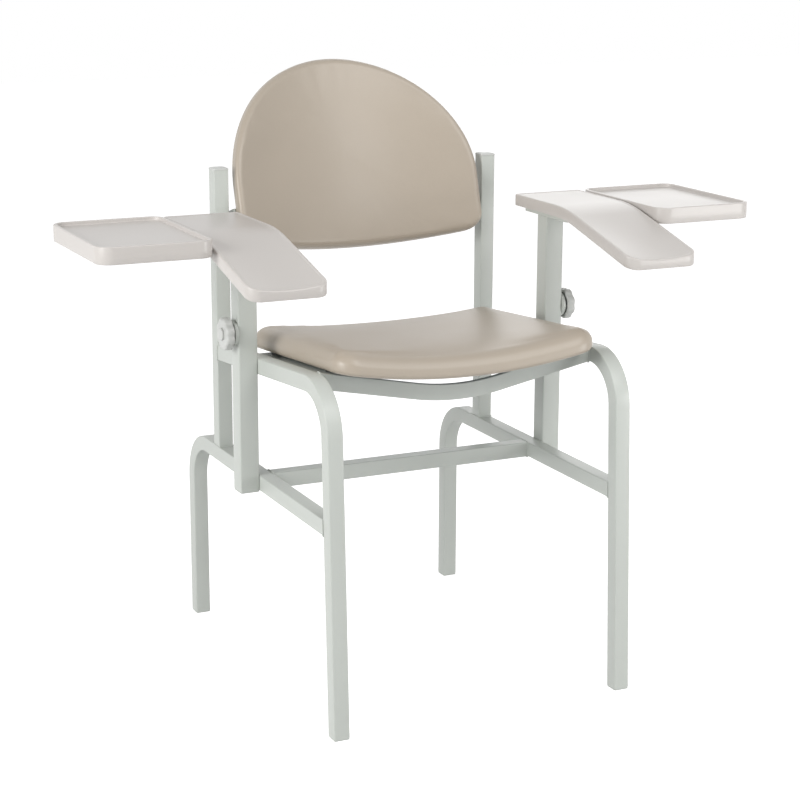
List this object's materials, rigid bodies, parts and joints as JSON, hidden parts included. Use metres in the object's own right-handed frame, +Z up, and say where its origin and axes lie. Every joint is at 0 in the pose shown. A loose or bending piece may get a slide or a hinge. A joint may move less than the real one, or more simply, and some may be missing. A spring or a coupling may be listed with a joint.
{
  "type": "phlebotomy chair",
  "caption": "Tall blood-drawing chair on a square-tube frame, with a dished seat, a wrapped tilting back pad and height-adjustable armrests that carry side trays.",
  "frame": {"origin": "centre of the footprint on the floor, under the middle of the overall box", "axes": "+Z up, +Y towards the back of the chair, +X towards the sitter's left-hand tray as seen from the front on the right; the chair mirrors about the plane X = 0"},
  "size_m": [1.1424, 0.664, 0.9942],
  "materials": {
    "powder_coat": "satin grey-green powder coat",
    "vinyl": "soft taupe vinyl",
    "moulding": "satin light grey moulding",
    "knob_plastic": "satin light grey moulding",
    "dark_plastic": "matte",
    "board": "matte",
    "zinc_steel": "satin zinc"
  },
  "bodies": {
    "frame": {"left_front_leg_tube": "powder_coat", "right_front_leg_tube": "powder_coat", "left_rear_leg_tube": "powder_coat", "right_rear_leg_tube": "powder_coat", "left_upright": "powder_coat", "right_upright": "powder_coat", "left_arm_sleeve": "powder_coat", "right_arm_sleeve": "powder_coat", "lower_crossbar": "powder_coat", "front_seat_bar": "powder_coat", "rear_seat_bar": "powder_coat", "seat_tabs": "powder_coat", "foot_glides": "dark_plastic", "upright_caps": "knob_plastic", "sleeve_caps": "dark_plastic", "left_sleeve_bush": "dark_plastic", "right_sleeve_bush": "dark_plastic", "left_clamp_nut": "zinc_steel", "right_clamp_nut": "zinc_steel", "pivot_studs": "zinc_steel", "seat_pan": "board", "seat_cushion": "vinyl", "seat_screws": "zinc_steel", "seat_spacers": "dark_plastic"},
    "back": {"back_board": "board", "back_cushion": "vinyl", "back_brackets": "powder_coat", "back_screws": "zinc_steel", "pivot_bushes": "dark_plastic"},
    "left_arm": {"left_inner_post": "powder_coat", "left_post_slider": "dark_plastic", "left_arm_plate": "powder_coat", "left_armrest": "moulding", "left_tray": "moulding", "left_tray_straps": "powder_coat", "left_arm_screws": "zinc_steel", "left_tray_screws": "zinc_steel"},
    "right_arm": {"right_inner_post": "powder_coat", "right_post_slider": "dark_plastic", "right_arm_plate": "powder_coat", "right_armrest": "moulding", "right_tray": "moulding", "right_tray_straps": "powder_coat", "right_arm_screws": "zinc_steel", "right_tray_screws": "zinc_steel"},
    "left_knob": {"left_knob": "knob_plastic", "left_knob_stud": "zinc_steel", "left_knob_cap": "knob_plastic"},
    "right_knob": {"right_knob": "knob_plastic", "right_knob_stud": "zinc_steel", "right_knob_cap": "knob_plastic"}
  },
  "joints": [
    {"name": "left_arm_height", "type": "slide", "parent": "frame", "child": "left_arm", "axis": [0, 0, 1], "range_m": [0, 0.12]},
    {"name": "right_arm_height", "type": "slide", "parent": "frame", "child": "right_arm", "axis": [0, 0, 1], "range_m": [0, 0.12]},
    {"name": "back_tilt", "type": "hinge", "parent": "frame", "child": "back", "pos_m": [0, 0.1825, 0.742], "axis": [-1, 0, 0], "range_deg": [-10, 10]},
    {"name": "left_clamp_turn", "type": "hinge", "parent": "frame", "child": "left_knob", "pos_m": [-0.3, -0.007, 0.587], "axis": [-1, 0, 0], "range_deg": [0, 540]},
    {"name": "right_clamp_turn", "type": "hinge", "parent": "frame", "child": "right_knob", "pos_m": [0.3, -0.007, 0.587], "axis": [1, 0, 0], "range_deg": [0, 540]}
  ]
}
